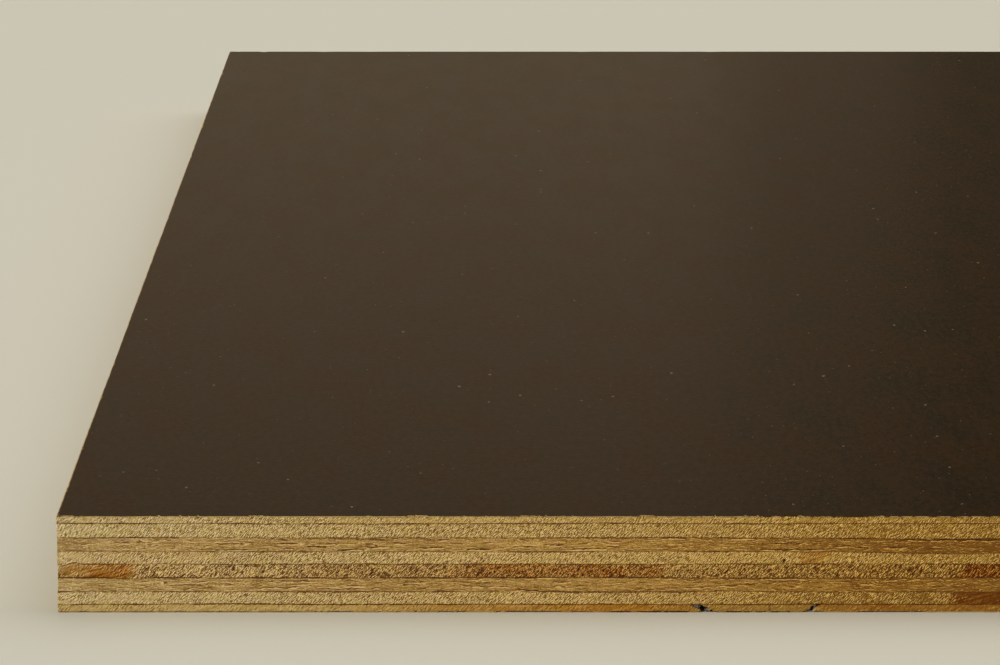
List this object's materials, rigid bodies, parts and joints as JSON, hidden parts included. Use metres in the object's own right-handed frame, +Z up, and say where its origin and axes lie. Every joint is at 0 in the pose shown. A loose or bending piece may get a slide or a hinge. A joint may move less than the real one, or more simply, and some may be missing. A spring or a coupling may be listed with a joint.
{
  "type": "film-faced plywood sheet",
  "caption": "Rectangular plywood sheet of cross-laid veneers with raw sawn edges and a smooth dark brown phenolic film on both faces.",
  "frame": {"origin": "middle of the lower face, on the floor", "axes": "+X along the long front edge, +Y from the front edge to the back edge, +Z up through the thickness"},
  "size_m": [1.22, 0.61, 0.018],
  "materials": {
    "phenolic_film": "satin",
    "pale_veneer": "matte",
    "crossband_veneer": "matte",
    "stained_veneer": "matte",
    "tan_veneer": "matte"
  },
  "bodies": {
    "root": {"face_film": "phenolic_film", "face_veneer": "pale_veneer", "upper_core_veneer": "pale_veneer", "upper_crossband": "crossband_veneer", "upper_centre_veneer": "pale_veneer", "lower_centre_veneer": "stained_veneer", "lower_crossband": "crossband_veneer", "lower_core_veneer": "pale_veneer", "back_veneer": "tan_veneer", "back_film": "phenolic_film"}
  },
  "joints": []
}
